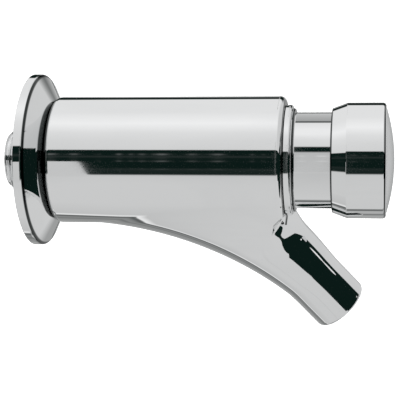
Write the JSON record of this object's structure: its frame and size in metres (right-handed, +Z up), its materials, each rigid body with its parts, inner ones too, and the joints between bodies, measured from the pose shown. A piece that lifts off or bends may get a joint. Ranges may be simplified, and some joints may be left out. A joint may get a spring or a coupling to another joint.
{
  "type": "push timed tap",
  "caption": "Wall mounted chrome tap with a push button that opens it and a slanting spout; it closes again by itself after a few seconds.",
  "frame": {"origin": "centre of the inlet tail at the wall plane", "axes": "+X out from the wall along the barrel, towards the button; +Z up; the spout slopes down and out in the XZ plane"},
  "size_m": [0.1342, 0.06, 0.0939],
  "materials": {
    "chrome": "polished",
    "satin_chrome": "satin",
    "brass": "machined",
    "steel": "bright",
    "white_acetal": "moulded",
    "grey_acetal": "moulded",
    "black_rubber": "matte"
  },
  "bodies": {
    "tap_body": {"body_casting": "chrome", "wall_flange": "chrome", "wall_gasket": "black_rubber", "flange_o_ring": "black_rubber", "inlet_strainer": "white_acetal", "flow_regulator": "grey_acetal", "valve_seat": "steel", "cartridge_housing": "white_acetal", "housing_o_rings": "black_rubber", "timing_needle": "steel", "guide_bush": "brass", "stem_o_ring": "black_rubber", "neck_sleeve": "chrome", "neck_o_ring": "black_rubber", "collar_ring": "chrome", "outlet_nozzle": "chrome", "outlet_o_ring": "black_rubber", "flow_straightener": "grey_acetal", "return_spring": "steel"},
    "piston_set": {"piston": "grey_acetal", "lip_seal": "black_rubber"},
    "button_set": {"piston_clip": "steel", "stem": "steel", "main_washer": "black_rubber", "washer_plate": "brass", "washer_nut": "brass", "button_cap": "chrome", "cap_glide": "white_acetal", "button_plate": "satin_chrome", "button_screw": "steel"}
  },
  "joints": [
    {"name": "push_slide", "type": "slide", "parent": "tap_body", "child": "piston_set", "axis": [-1, 0, 0], "range_m": [0, 0.008], "stiffness_N_per_m": 1200, "springref_m": -0.01, "deforming": ["return_spring"]},
    {"name": "button_turn", "type": "hinge", "parent": "piston_set", "child": "button_set", "pos_m": [0.1, 0, 0], "axis": [1, 0, 0], "continuous": true}
  ]
}
